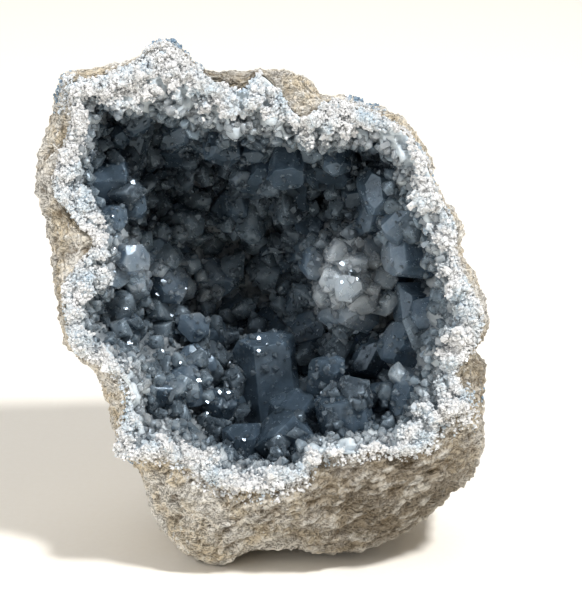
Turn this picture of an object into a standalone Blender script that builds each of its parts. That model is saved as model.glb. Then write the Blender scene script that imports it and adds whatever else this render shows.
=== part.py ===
"""A celestite geode, broken open and standing on its foot.

A rind of rough limestone holds one crust of blue-grey celestite, which lines the
hollow and shows as a pale broken band around the mouth. The geode is drawn in the
frame of its mouth, with X to the right, Z up and Y back into the rock. It is then
leaned back, stood on its foot and set with the middle of its box over the origin.
"""

import math
from random import Random

import bmesh
import bpy
from mathutils import Matrix, Vector, noise

MM = 0.001

# Depths back from the mouth, in metres.
ROCK_DEPTH = 0.106
CAVE_DEPTH = 0.094
HOLLOW_DEPTH = 0.084
BAND_DEPTH = 0.009
SIDE_GIRTH_DEPTH = 0.014
FOOT_GIRTH_DEPTH = 0.036
CRUST_GAP = 0.0004
CRUST_PROUD = 0.0015

# How far through the crust a crystal's root may reach, where 1 is its back.
CRUST_ROOM = 0.93

# How the geode stands: it leans back, and its foot is worn flat at this height below the mouth's middle.
LEAN = math.radians(14)
FOOT_LEVEL = -0.0985
BOX_MIDDLE = (-0.0011, 0.0457)

# Outlines around the mouth's middle, as (across, up) in millimetres.
# The girth is the widest line of the rock.
GIRTH = (
    (74, -1), (70, 8), (65, 17), (65, 25), (59, 37), (56, 49), (51, 56), (44, 61), (36, 65), (27, 69),
    (19, 70), (12, 76), (-2, 77), (-10, 76), (-19, 77), (-25, 81), (-31, 86), (-38, 85), (-43, 81),
    (-57, 77), (-69, 75), (-72, 67), (-75, 54), (-78, 39), (-74, 22), (-72, 6), (-68, -14), (-57, -31),
    (-52, -51), (-43, -64), (-38, -80), (-30, -91), (-17, -95), (-5, -91), (9, -89), (24, -91),
    (41, -87), (54, -79), (67, -68), (74, -54), (75, -40), (76, -23), (71, -17), (76, -10),
)
# The seam is where the limestone meets the pale band.
SEAM = (
    (71, -4), (67, 5), (63, 14), (62, 25), (56, 36), (54, 44), (50, 51), (46, 56), (41, 59), (29, 64),
    (21, 66), (14, 61), (9, 63), (3, 71), (-3, 75), (-7, 70), (-18, 73), (-25, 78), (-31, 83),
    (-38, 82), (-44, 78), (-56, 74), (-66, 71), (-62, 66), (-66, 53), (-70, 42), (-69, 35), (-57, 20),
    (-62, 12), (-67, 4), (-66, -8), (-62, -18), (-53, -22), (-46, -30), (-47, -39), (-50, -52),
    (-36, -52), (-28, -54), (-20, -60), (-6, -64), (12, -60), (18, -52), (28, -52), (38, -50),
    (45, -52), (55, -48), (59, -40), (68, -35), (62, -25), (69, -15),
)
# The mouth is the pale band's inner edge, where the walls turn back into the hollow.
MOUTH = (
    (61, 3), (57, 12), (55, 20), (52, 28), (48, 35), (44, 43), (40, 51), (34, 53), (24, 51), (15, 51),
    (8, 53), (0, 55), (-12, 55), (-21, 58), (-30, 61), (-39, 62), (-47, 64), (-54, 66), (-58, 58),
    (-60, 48), (-60, 40), (-57, 31), (-51, 21), (-51, 12), (-55, 2), (-61, -8), (-56, -15), (-47, -20),
    (-40, -29), (-41, -39), (-31, -44), (-19, -52), (-6, -57), (9, -55), (17, -48), (30, -46),
    (43, -45), (50, -39), (54, -28), (57, -18), (60, -8),
)

# Knobs of the limestone, as (across, back, up) in millimetres, with their radius and height.
# The first three are the feet that the geode stands on, and the fourth is the arch between them.
KNOBS = (
    (-20, 36, -92, 13, 3),
    (27, 42, -90, 14, 4),
    (4, 88, -76, 18, 6),
    (4, 58, -88, 19, -8),
    (-62, 55, 40, 20, 6),
    (50, 60, 35, 22, 6),
    (-10, 60, 66, 18, 5),
    (58, 50, -45, 20, 5),
    (-30, 96, 20, 22, 5),
    (28, 98, -8, 20, 6),
    (-48, 70, -30, 18, 6),
)

# Waves of each rough surface, as pairs of (height, width) in metres.
LUMPS = ((0.0065, 0.032), (0.0042, 0.015))
RIM_WAVES = ((0.0035, 0.05), (0.0018, 0.016))
BAND_SUGAR = ((0.004, 0.0045),)
WALL_RELIEF = ((0.0022, 0.013), (0.0018, 0.0045))
LEDGE_HEIGHT = 0.0022
LEDGE_SIZE = (0.03, 0.03, 0.009)

# Facets around the geode, and rows of them over each part of its surface.
FACETS = 60
BACK_ROWS = 9
SHOULDER_ROWS = 4
CAVE_ROWS = 5
BAND_ROWS = 3
HOLLOW_ROWS = 8

# Towards the back the rock's outline loses its corners, the faster the higher the power, and closes as a
# plain round of this radius.
BACK_RADIUS = 0.074
CORNER_FADING = 3

# How much of the limestone's lumps the girth does without, how sharply that keeps to the girth, and how
# much the shoulder in front keeps. They stand out from this share of the rock's depth.
GIRTH_CALM = 0.7
GIRTH_NARROWNESS = 8
SHOULDER_LUMPS = 0.7
LUMPS_MIDDLE = 0.4

# How closely the foot's shape keeps to the bottom, how much rounder the band is than a circle, and what
# share of the way in from the mouth the wall's relief takes to reach its height.
FOOT_SPREAD = 1.5
BAND_ROUNDING = 1.3
RELIEF_START = 0.25

# Squareness of each bowl: 2 is an ellipse, and more is fuller.
ROCK_FULLNESS = 2.5
FOOT_FULLNESS = 3.4
CAVE_FULLNESS = 2.5
HOLLOW_FULLNESS = 2.25

# Swellings of the hollow's wall, each seen at (across, up), with its radius and height, in millimetres.
SWELLINGS = (
    (-25, -27, 15, 11),
    (-42, -2, 11, 6),
    (24, 17, 13, 9),
    (32, -8, 12, 5),
    (-33, 32, 14, 5),
    (-12, 47, 12, 4),
    (44, -30, 11, 4),
)

# A spur of the wall that stands forward, as (across, up, radius, height) in millimetres, how wide it is
# for its height, and the way that it points.
SPUR = (33, 4, 11, 43)
SPUR_STRETCH = 0.6
SPUR_WAY = Vector((-0.1, -1, 0))

# The big crystals that show, each seen at (across, up), with its width, breadth and length in
# millimetres, the way that it points, the degrees that its broad face is turned from the front, and
# how many degrees its end falls away by.
BIG_CRYSTALS = (
    (1, -46, 22, 16, 29, (-0.09, -0.16, 0.98), 8, 10),
    (-19, -46, 12, 10, 14, (0.25, -0.6, 0.75), 30, 35),
    (9, -51, 13, 10, 14, (0.1, -0.5, 0.85), -15, 18),
    (20, -43, 14, 11, 20, (0.1, -0.45, 0.88), 40, 20),
    (7, 51, 15, 12, 15, (-0.05, -0.6, -0.8), 20, 15),
    (24, 50, 9, 8, 10, (0.0, -0.5, -0.85), 35, 40),
    (45, 36, 17, 13, 14, (-0.8, -0.6, 0.0), 10, 15),
    (41, 24, 14, 11, 12, (-0.75, -0.6, 0.1), -15, 25),
    (54, 13, 16, 13, 12, (-0.85, -0.5, 0.1), 20, 20),
    (45, 5, 15, 12, 13, (-0.8, -0.6, 0.0), -20, 20),
    (56, -4, 15, 12, 12, (-0.85, -0.5, 0.0), 5, 25),
    (38, -9, 14, 11, 12, (-0.6, -0.75, 0.25), 25, 25),
    (53, -20, 16, 13, 12, (-0.8, -0.5, 0.3), -25, 20),
    (43, -26, 15, 12, 13, (-0.7, -0.6, 0.35), 0, 25),
    (34, -34, 15, 12, 15, (-0.3, -0.6, 0.75), -15, 20),
    (-57, 54, 9, 7, 9, (0.8, -0.6, 0.1), 15, 30),
    (-56, 41, 12, 10, 12, (0.85, -0.5, -0.1), -10, 30),
    (-55, 30, 12, 9, 15, (0.9, -0.4, 0.05), 20, 30),
    (-54, 26, 9, 8, 7, (0.6, -0.8, 0.0), 10, 30),
    (-51, 14, 13, 10, 9, (0.6, -0.75, 0.0), 40, 25),
    (-54, 7, 9, 8, 6, (0.6, -0.8, 0.1), 65, 25),
    (-43, 1, 15, 12, 10, (0.6, -0.75, 0.25), 5, 20),
    (-32, -16, 13, 10, 9, (0.2, -0.95, 0.05), 30, 25),
    (-30, -31, 14, 11, 11, (0.1, -0.95, 0.1), 10, 25),
    (-14, -37, 13, 11, 13, (0.5, -0.75, 0.4), 50, 25),
    (-46, 62, 12, 10, 10, (0.3, -0.75, -0.55), 0, 25),
    (-31, 59, 11, 9, 11, (0.1, -0.7, -0.7), 25, 25),
    (-16, 55, 12, 10, 11, (0.1, -0.7, -0.7), -40, 25),
    (-5, 53, 9, 8, 9, (0.0, -0.6, -0.8), 15, 30),
    (25, 10, 12, 10, 10, (-0.5, -0.8, 0.2), 15, 22),
    (20, 24, 13, 10, 11, (-0.4, -0.9, 0.0), 45, 20),
    (17, -22, 14, 11, 15, (-0.3, -0.75, 0.55), -10, 15),
    (32, 14, 9, 7, 8, (-0.35, -0.85, 0.3), 20, 28),
    (35, 2, 10, 8, 8, (-0.2, -0.95, 0.1), -20, 25),
    (29, -9, 10, 8, 9, (-0.3, -0.9, -0.1), 40, 30),
)

# The lesser crystals between them, with their breadths and lengths as shares of their widths.
LESSER_COUNT = 44
LESSER_WIDTHS = (0.012, 0.02)
LESSER_BREADTHS = (0.75, 1.0)
LESSER_LENGTHS = (0.45, 0.85)
LESSER_ENDS = (12, 38)
LESSER_SPACING = 0.38
LESSER_START = 0.1
LESSER_TRIES = 6000
TILT = 0.34
SEED = 25

# Every crystal grows from a root set this deep into the crust.
ROOT_DEPTH = 0.004

# Its corners are cut off at this angle to its broad faces, each from its own place on the side, as
# shares of its breadth.
CORNER_SLOPE = math.radians(52)
CORNER_STARTS = (-0.12, 0.32)

# Its end falls away like a chisel's: how many degrees its slopes differ by, and how far from the middle
# each starts, as shares of its breadth and of its width. A short crystal's slopes are gentler.
END_STRAY = 8
BROAD_RIDGES = (0.02, 0.14)
SIDE_RIDGES = (0.1, 0.38)
STEEPEST_END = 1.6


def blend(a, b, share):
    return a + (b - a) * share


def catmull_rom(before, start, end, after, share):
    """The smooth curve through start and end, at a share of the way between them."""
    return 0.5 * (
        2 * start
        + (end - before) * share
        + (2 * before - 5 * start + 4 * end - after) * share**2
        + (3 * start - before - 3 * end + after) * share**3
    )


def smooth_outline(points):
    """The radius at any angle of the smooth closed outline through these points."""
    polar = sorted((math.atan2(up, across), math.hypot(across, up) * MM) for across, up in points)
    count = len(polar)

    def radius(angle):
        angle = (angle + math.pi) % math.tau - math.pi
        after = next((i for i, (a, _) in enumerate(polar) if a > angle), count)
        start = polar[after - 1]
        end = polar[after % count]
        span = (end[0] - start[0]) % math.tau
        share = ((angle - start[0]) % math.tau) / span
        return catmull_rom(polar[after - 2][1], start[1], end[1], polar[(after + 1) % count][1], share)

    return radius


girth = smooth_outline(GIRTH)
seam = smooth_outline(SEAM)
mouth = smooth_outline(MOUTH)


def polar_point(angle, radius, depth):
    return Vector((radius * math.cos(angle), depth, radius * math.sin(angle)))


def relief(point, waves):
    """How far a rough surface with these waves stands proud here."""
    return sum(height * noise.noise(point / width) for height, width in waves)


def rim_wave(angle):
    """How far back the broken front lies at this angle: the break isn't flat."""
    return relief(polar_point(angle, BACK_RADIUS, 0), RIM_WAVES)


def footward(angle):
    """How much a place at this angle belongs to the foot, from 0 to 1."""
    return max(0.0, -math.sin(angle)) ** FOOT_SPREAD


def girth_depth(angle):
    """The rock is widest just behind the break at its sides, and further back at its foot."""
    return blend(SIDE_GIRTH_DEPTH, FOOT_GIRTH_DEPTH, footward(angle))


def bowl(share, fullness):
    """A quarter of a bowl's section, as (width left, depth reached), from its lip to its floor."""
    turn = share * math.pi / 2
    return math.cos(turn) ** (2 / fullness), math.sin(turn) ** (2 / fullness)


def rock_lumps(point):
    """How far the limestone stands proud here: broad knobs, smaller ones and a few ledges."""
    lumps = relief(point, LUMPS)
    ledges = LEDGE_HEIGHT * noise.noise(Vector(x / size for x, size in zip(point, LEDGE_SIZE)))
    for *place, radius, height in KNOBS:
        apart = (point - Vector(place) * MM).length_squared
        lumps += height * MM * math.exp(-apart / (radius * MM) ** 2)
    return lumps + ledges


def rock_outside(angle, share):
    """The limestone's back and sides, from its back pole at share 0 to its girth at 1."""
    width, depth = bowl(1 - share, blend(ROCK_FULLNESS, FOOT_FULLNESS, footward(angle)))
    start = girth_depth(angle)
    radius = blend(BACK_RADIUS, girth(angle), width**CORNER_FADING) * width
    point = polar_point(angle, radius, blend(start, ROCK_DEPTH, depth))
    outward = (point - Vector((0, ROCK_DEPTH * LUMPS_MIDDLE, 0))).normalized()
    return point + outward * rock_lumps(point) * (1 - GIRTH_CALM * width**GIRTH_NARROWNESS)


def rock_shoulder(angle, share):
    """The limestone's front, rounding from its girth at share 0 to the seam at 1."""
    turn = (1 - share) * math.pi / 2
    start = rock_outside(angle, 1)
    wide = math.hypot(start.x, start.z)
    width = blend(seam(angle), wide, math.sin(turn))
    depth = blend(start.y, rim_wave(angle), math.cos(turn))
    point = polar_point(angle, width, depth)
    fade = math.sin(math.pi * share)
    return point + Vector((0, -1, 0)) * rock_lumps(point) * SHOULDER_LUMPS * fade


def cave_wall(angle, share, inset=0.0):
    """Where limestone and crust meet, from the seam at share 0 to the cave's pole at 1."""
    width, depth = bowl(share, CAVE_FULLNESS)
    return polar_point(
        angle, (seam(angle) - inset) * width, blend(rim_wave(angle), CAVE_DEPTH - inset, depth)
    )


def within_crust(point):
    """Whether this place is well clear of the limestone behind the crust."""
    angle = math.atan2(point.z, point.x)
    across = math.hypot(point.x, point.z) / seam(angle)
    front = rim_wave(angle)
    back = max(0.0, (point.y - front) / (CAVE_DEPTH - front))
    return across**CAVE_FULLNESS + back**CAVE_FULLNESS < CRUST_ROOM


def band(angle, share):
    """The pale band, sloping back from the seam at share 0 to the mouth at 1."""
    edge = seam(angle) - CRUST_GAP
    turn = share * math.pi / 2
    width = blend(edge, mouth(angle), math.sin(turn) ** BAND_ROUNDING)
    front = rim_wave(angle) - CRUST_PROUD
    point = polar_point(angle, width, front + BAND_DEPTH * (1 - math.cos(turn)))
    sugar = relief(point, BAND_SUGAR) * math.sin(math.pi * share)
    return point + Vector((0, -1, 0)) * sugar


def plain_hollow(angle, share):
    width, depth = bowl(share, HOLLOW_FULLNESS)
    start = rim_wave(angle) - CRUST_PROUD + BAND_DEPTH
    return polar_point(angle, mouth(angle) * width, blend(start, HOLLOW_DEPTH, depth))


def hollow_place(across, up):
    """The (angle, share) of the hollow's wall that is seen at this place from the front."""
    angle = math.atan2(up, across)
    width = min(0.998, math.hypot(across, up) * MM / mouth(angle))
    return angle, math.acos(width ** (HOLLOW_FULLNESS / 2)) / (math.pi / 2)


SWELLING_CENTRES = [
    (plain_hollow(*hollow_place(across, up)), radius * MM, height * MM)
    for across, up, radius, height in SWELLINGS
]
HOLLOW_MIDDLE = Vector((0, HOLLOW_DEPTH * 0.35, 0.002))


def hollow_wall(angle, share):
    """The crust's own surface inside the hollow, from the mouth at share 0 to the pole at 1."""
    point = plain_hollow(angle, share)
    rise = relief(point, WALL_RELIEF)
    for centre, radius, height in SWELLING_CENTRES:
        rise += height * math.exp(-((point - centre).length_squared) / radius**2)
    inward = (HOLLOW_MIDDLE - point).normalized()
    across, up, radius, height = (x * MM for x in SPUR)
    apart = math.hypot(point.x - across, (point.z - up) * SPUR_STRETCH)
    spur = height * math.exp(-((apart / radius) ** 2))
    return point + inward * rise * min(1.0, share / RELIEF_START) + SPUR_WAY * spur


def hollow_normal(angle, share):
    """The way out of the crust into the hollow."""
    step = 0.01
    share = min(max(share, 0.02), 0.98)
    around = hollow_wall(angle + step, share) - hollow_wall(angle - step, share)
    back = hollow_wall(angle, share + step) - hollow_wall(angle, share - step)
    normal = around.cross(back).normalized()
    inward = HOLLOW_MIDDLE - hollow_wall(angle, share)
    return normal if normal.dot(inward) > 0 else -normal


def wrapped_skin(rows, place):
    """A closed skin: a grid wrapped round the geode, whose first and last rows close at poles."""
    bm = bmesh.new()
    bmesh.ops.create_grid(bm, x_segments=FACETS, y_segments=rows, size=1)
    for vertex in bm.verts:
        column = round((vertex.co.x + 1) / 2 * FACETS) % FACETS
        row = round((vertex.co.y + 1) / 2 * rows)
        vertex.co = place(column / FACETS * math.tau, row)
    bmesh.ops.remove_doubles(bm, verts=bm.verts, dist=0.01 * MM)
    bmesh.ops.triangulate(bm, faces=bm.faces, quad_method="FIXED")
    bmesh.ops.recalc_face_normals(bm, faces=bm.faces)
    return bm


def rock_place(angle, row):
    if row <= BACK_ROWS:
        return rock_outside(angle, row / BACK_ROWS)
    row -= BACK_ROWS
    if row <= SHOULDER_ROWS:
        return rock_shoulder(angle, row / SHOULDER_ROWS)
    return cave_wall(angle, (row - SHOULDER_ROWS) / CAVE_ROWS)


def crust_place(angle, row):
    if row <= CAVE_ROWS:
        return cave_wall(angle, 1 - row / CAVE_ROWS, CRUST_GAP)
    row -= CAVE_ROWS + 1
    if row <= BAND_ROWS:
        return band(angle, row / BAND_ROWS)
    return hollow_wall(angle, (row - BAND_ROWS) / HOLLOW_ROWS)


def cut_away(bm, point, normal):
    """Cuts off what lies past a plane and closes the cut with a flat face."""
    cut = bmesh.ops.bisect_plane(
        bm,
        geom=bm.verts[:] + bm.edges[:] + bm.faces[:],
        dist=0.001 * MM,
        plane_co=point,
        plane_no=normal,
        clear_outer=True,
    )
    edges = [part for part in cut["geom_cut"] if isinstance(part, bmesh.types.BMEdge)]
    bmesh.ops.holes_fill(bm, edges=edges, sides=0)


def standing():
    """The move from the mouth's own frame to the one in which the geode stands."""
    lean = Matrix.Rotation(-LEAN, 4, "X")
    return Matrix.Translation((-BOX_MIDDLE[0], -BOX_MIDDLE[1], -FOOT_LEVEL)) @ lean


def named_object(name, bm, material=None):
    mesh = bpy.data.meshes.new(name)
    bm.to_mesh(mesh)
    bm.free()
    made = bpy.data.objects.new(name, mesh)
    bpy.context.scene.collection.objects.link(made)
    if material:
        mesh.materials.append(material)
    return made


def surface(name, colour, roughness):
    material = bpy.data.materials.new(name)
    material.use_nodes = True
    shader = material.node_tree.nodes["Principled BSDF"]
    shader.inputs["Base Color"].default_value = (*colour, 1)
    shader.inputs["Roughness"].default_value = roughness
    shader.inputs["Metallic"].default_value = 0
    return material


def crystal_body(width, breadth, length, end, rng):
    """A blocky prism along +Z, broad towards Y, with its corners cut off and a chisel's end."""
    bm = bmesh.new()
    bmesh.ops.create_cube(bm, size=1)
    bmesh.ops.scale(bm, verts=bm.verts, vec=(width, breadth, ROOT_DEPTH + length))
    bmesh.ops.translate(bm, verts=bm.verts, vec=(0, 0, (length - ROOT_DEPTH) / 2))
    for x in (1, -1):
        for y in (1, -1):
            start = Vector((x * width / 2, y * breadth * rng.uniform(*CORNER_STARTS), 0))
            cut_away(bm, start, Vector((x * math.sin(CORNER_SLOPE), y * math.cos(CORNER_SLOPE), 0)))
    ends = ((Vector((0, 1, 0)), breadth, BROAD_RIDGES), (Vector((1, 0, 0)), width, SIDE_RIDGES))
    for across, size, ridges in ends:
        for side in (1, -1):
            start = across * side * size * rng.uniform(*ridges) + Vector((0, 0, length))
            fall = math.radians(end + rng.uniform(-END_STRAY, END_STRAY))
            fall = min(fall, math.atan(STEEPEST_END * length / size))
            cut_away(bm, start, across * side * math.sin(fall) + Vector((0, 0, math.cos(fall))))
    return bm


def crystal_turn(way, spin):
    """The turn that points a crystal a way, its broad face to the front, and then spins it."""
    back = (Vector((0, 1, 0)) - way * way.y).normalized()
    return Matrix((back.cross(way), back, way)).transposed() @ Matrix.Rotation(spin, 3, "Z")


def add_crystal(crystals, angle, share, size, turn, rng):
    """Roots one crystal on the hollow's wall, and keeps it as a guide."""
    bm = crystal_body(*size, rng)
    root = Matrix.Translation(hollow_wall(angle, share))
    bmesh.ops.transform(bm, verts=bm.verts, matrix=root @ turn.to_4x4())
    rise = hollow_normal(angle, share) * MM
    while not all(within_crust(vertex.co) for vertex in bm.verts):
        bmesh.ops.translate(bm, verts=bm.verts, vec=rise)
    guide = named_object(f"crystal_guide_{len(crystals.objects)}", bm)
    bpy.context.scene.collection.objects.unlink(guide)
    crystals.objects.link(guide)
    guide.matrix_world = standing()
    guide.hide_render = True
    guide.display_type = "WIRE"


def grow_big_crystals(crystals, rng):
    """The crystals that show most. Returns where they are rooted and how wide they are."""
    rooted = []
    for across, up, width, breadth, length, way, spin, end in BIG_CRYSTALS:
        angle, share = hollow_place(across, up)
        size = (width * MM, breadth * MM, length * MM, end)
        turn = crystal_turn(Vector(way).normalized(), math.radians(spin))
        add_crystal(crystals, angle, share, size, turn, rng)
        rooted.append((hollow_wall(angle, share), width * MM))
    return rooted


def grow_lesser_crystals(crystals, rooted, rng):
    """Smaller crystals wherever there is room, each about square to the wall it grows on."""
    grown = 0
    for _ in range(LESSER_TRIES):
        angle = rng.uniform(-math.pi, math.pi)
        share = rng.uniform(LESSER_START, 1)
        if rng.random() > bowl(share, HOLLOW_FULLNESS)[0] + 0.1:
            continue
        width = rng.uniform(*LESSER_WIDTHS)
        place = hollow_wall(angle, share)
        if any((place - near).length < LESSER_SPACING * (width + wide) for near, wide in rooted):
            continue
        stray = Vector([rng.uniform(-TILT, TILT) for _ in range(3)])
        way = (hollow_normal(angle, share) + stray).normalized()
        breadth = width * rng.uniform(*LESSER_BREADTHS)
        size = (width, breadth, width * rng.uniform(*LESSER_LENGTHS), rng.uniform(*LESSER_ENDS))
        turn = crystal_turn(way, rng.uniform(0, math.pi))
        add_crystal(crystals, angle, share, size, turn, rng)
        rooted.append((place, width))
        grown += 1
        if grown == LESSER_COUNT:
            return


def rock_shell():
    bm = wrapped_skin(BACK_ROWS + SHOULDER_ROWS + CAVE_ROWS, rock_place)
    bmesh.ops.transform(bm, verts=bm.verts, matrix=standing())
    cut_away(bm, (0, 0, 0), (0, 0, -1))
    bmesh.ops.triangulate(bm, faces=bm.faces)
    named_object("rock_shell", bm, surface("rough_limestone", (0.45, 0.38, 0.28), 0.95))


def crystal_crust():
    bm = wrapped_skin(CAVE_ROWS + 1 + BAND_ROWS + HOLLOW_ROWS, crust_place)
    bmesh.ops.transform(bm, verts=bm.verts, matrix=standing())
    crust = named_object("crystal_crust", bm, surface("celestite", (0.2, 0.27, 0.34), 0.2))
    crystals = bpy.data.collections.new("crystal_guides")
    bpy.context.scene.collection.children.link(crystals)
    rng = Random(SEED)
    rooted = grow_big_crystals(crystals, rng)
    grow_lesser_crystals(crystals, rooted, rng)
    fused = crust.modifiers.new("fused_crystals", "BOOLEAN")
    fused.operation = "UNION"
    fused.operand_type = "COLLECTION"
    fused.collection = crystals
    fused.solver = "EXACT"


def main():
    for leftover in list(bpy.data.objects):
        bpy.data.objects.remove(leftover)
    rock_shell()
    crystal_crust()


main()
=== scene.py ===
"""A celestite geode in limestone and crystal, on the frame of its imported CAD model.

The geode is drawn in the frame of its mouth, as in the CAD source: X to the right, Z up
and Y back into the rock. It is then leaned back and stood on its foot.
"""

import math
from functools import lru_cache
from random import Random

import bmesh
import bpy
import numpy as np
from mathutils import Matrix, Vector, noise
from mathutils.bvhtree import BVHTree


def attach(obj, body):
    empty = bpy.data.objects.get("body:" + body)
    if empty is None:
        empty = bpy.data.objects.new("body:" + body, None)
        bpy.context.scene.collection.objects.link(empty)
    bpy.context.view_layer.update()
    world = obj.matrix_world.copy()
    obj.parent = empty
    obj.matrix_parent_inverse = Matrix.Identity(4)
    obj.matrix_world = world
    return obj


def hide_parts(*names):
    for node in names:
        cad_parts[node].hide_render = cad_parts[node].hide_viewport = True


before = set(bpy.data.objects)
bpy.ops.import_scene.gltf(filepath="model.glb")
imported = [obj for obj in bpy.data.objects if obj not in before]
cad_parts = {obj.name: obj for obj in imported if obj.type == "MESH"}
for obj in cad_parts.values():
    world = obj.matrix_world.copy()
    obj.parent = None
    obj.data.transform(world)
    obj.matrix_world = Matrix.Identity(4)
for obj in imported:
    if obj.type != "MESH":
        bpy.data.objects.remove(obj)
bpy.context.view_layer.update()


# The limestone rind.
# One piece of rough, weathered limestone: sandy lumps, pits and ledges, broken off in a
# rounded shoulder in front and worn flat under its feet.

MM = 0.001

# The rock's back is 1.5 mm shallower than in the CAD source, whose facets cut its roundest part off.
ROCK_DEPTH = 0.1045
CAVE_DEPTH = 0.094
SIDE_GIRTH_DEPTH = 0.014
FOOT_GIRTH_DEPTH = 0.036
BACK_RADIUS = 0.074
CORNER_FADING = 3
ROCK_FULLNESS = 2.5
FOOT_FULLNESS = 3.4
CAVE_FULLNESS = 2.5
FOOT_SPREAD = 1.5

# It leans back, and stands at this level with its box centred.
LEAN = math.radians(14)
FOOT_LEVEL = -0.0985
BOX_MIDDLE = (-0.0011, 0.0457)

# Outlines around the mouth's middle, as (across, up) in millimetres.
GIRTH = (
    (74, -1), (70, 8), (65, 17), (65, 25), (59, 37), (56, 49), (51, 56), (44, 61), (36, 65), (27, 69),
    (19, 70), (12, 76), (-2, 77), (-10, 76), (-19, 77), (-25, 81), (-31, 86), (-38, 85), (-43, 81),
    (-57, 77), (-69, 75), (-72, 67), (-75, 54), (-78, 39), (-74, 22), (-72, 6), (-68, -14), (-57, -31),
    (-52, -51), (-43, -64), (-38, -80), (-30, -91), (-17, -95), (-5, -91), (9, -89), (24, -91),
    (41, -87), (54, -79), (67, -68), (74, -54), (75, -40), (76, -23), (71, -17), (76, -10),
)
SEAM = (
    (71, -4), (67, 5), (63, 14), (62, 25), (56, 36), (54, 44), (50, 51), (46, 56), (41, 59), (29, 64),
    (21, 66), (14, 61), (9, 63), (3, 71), (-3, 75), (-7, 70), (-18, 73), (-25, 78), (-31, 83),
    (-38, 82), (-44, 78), (-56, 74), (-66, 71), (-62, 66), (-66, 53), (-70, 42), (-69, 35), (-57, 20),
    (-62, 12), (-67, 4), (-66, -8), (-62, -18), (-53, -22), (-46, -30), (-47, -39), (-50, -52),
    (-36, -52), (-28, -54), (-20, -60), (-6, -64), (12, -60), (18, -52), (28, -52), (38, -50),
    (45, -52), (55, -48), (59, -40), (68, -35), (62, -25), (69, -15),
)

# Knobs, as (across, back, up) with their radius and height, in millimetres.
KNOBS = (
    (-20, 36, -92, 13, 3),
    (27, 42, -90, 14, 4),
    (4, 88, -76, 18, 6),
    (4, 58, -88, 19, -8),
    (-62, 55, 40, 20, 6),
    (50, 60, 35, 22, 6),
    (-10, 60, 66, 18, 5),
    (58, 50, -45, 20, 5),
    (-30, 96, 20, 22, 5),
    (28, 98, -8, 20, 6),
    (-48, 70, -30, 18, 6),
)

# Waves of the surface, as pairs of (height, width) in metres.
LUMPS = ((0.0065, 0.032), (0.0042, 0.015))
RIM_WAVES = ((0.0035, 0.05), (0.0018, 0.016))
LEDGE_HEIGHT = 0.0022
LEDGE_SIZE = (0.03, 0.03, 0.009)

# Where the lumps rise from, and how much lower they are at the girth and over the shoulder.
LUMPS_MIDDLE = 0.4
GIRTH_CALM = 0.7
GIRTH_NARROWNESS = 8
SHOULDER_LUMPS = 0.7

# The grit on it is finer than the CAD shows: its height, the width of its largest grains, and how far
# it is sunk so that the outline stays where it is.
ROCK_GRIT = (0.0012, 0.0072, 0.001)
GRIT_OCTAVES = 4

# Its layers dip to the right, and are longer than they are thick. Sharp crests, with how fast the finer
# ones fade and by how much they are narrower, are mixed with plain broken stone.
LAYERING = Matrix.Diagonal((1, 1, 2.2)) @ Matrix.Rotation(math.radians(24), 3, "Y")
CREST_SHARE = 0.6
CREST_FADING = 0.4
CREST_STEP = 2.2
CREST_OFFSET = 0.9
CREST_GAIN = 1.4
CREST_MIDDLE = 0.87
BROKEN_SHARE = 0.9
BROKEN_SCALE = 0.8
BROKEN_FADING = 0.4
BROKEN_STEP = 2.3

# Where it is darker grey brown, on the standing geode: middle, radius and how much.
DARKER_PATCHES = (
    ((0.045, -0.055, 0.028), 0.052, 0.9),
    ((0.07, -0.03, 0.072), 0.03, 0.85),
    ((-0.012, -0.02, 0.172), 0.026, 0.6),
    ((0.0, -0.06, 0.015), 0.045, 0.2),
)

# How finely its skin is divided, round the mouth's middle and from the back pole to the cave's.
ROCK_COLUMNS = 660
BACK_ROWS = 60
SHOULDER_ROWS = 84
CAVE_ROWS = 5


def blend(a, b, share):
    return a + (b - a) * share


def catmull_rom(before, start, end, after, share):
    """The smooth curve through start and end, at a share of the way between them."""
    return 0.5 * (
        2 * start
        + (end - before) * share
        + (2 * before - 5 * start + 4 * end - after) * share**2
        + (3 * start - before - 3 * end + after) * share**3
    )


def smooth_outline(points):
    """The radius at any angle of the smooth closed outline through these points."""
    polar = sorted((math.atan2(up, across), math.hypot(across, up) * MM) for across, up in points)
    count = len(polar)

    @lru_cache(maxsize=None)
    def radius(angle):
        angle = (angle + math.pi) % math.tau - math.pi
        after = next((i for i, (a, _) in enumerate(polar) if a > angle), count)
        start = polar[after - 1]
        end = polar[after % count]
        span = (end[0] - start[0]) % math.tau
        share = ((angle - start[0]) % math.tau) / span
        return catmull_rom(polar[after - 2][1], start[1], end[1], polar[(after + 1) % count][1], share)

    return radius


girth = smooth_outline(GIRTH)
seam = smooth_outline(SEAM)


def polar_point(angle, radius, depth):
    return Vector((radius * math.cos(angle), depth, radius * math.sin(angle)))


def relief(point, waves):
    """How far a rough surface with these waves stands proud here."""
    return sum(height * noise.noise(point / width) for height, width in waves)


@lru_cache(maxsize=None)
def rim_wave(angle):
    """How far back the broken front lies at this angle: the break isn't flat."""
    return relief(polar_point(angle, BACK_RADIUS, 0), RIM_WAVES)


def footward(angle):
    """How much a place at this angle belongs to the foot, from 0 to 1."""
    return max(0.0, -math.sin(angle)) ** FOOT_SPREAD


def bowl(share, fullness):
    """A quarter of a bowl's section, as (width left, depth reached), from its lip to its floor."""
    turn = share * math.pi / 2
    return math.cos(turn) ** (2 / fullness), math.sin(turn) ** (2 / fullness)


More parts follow.
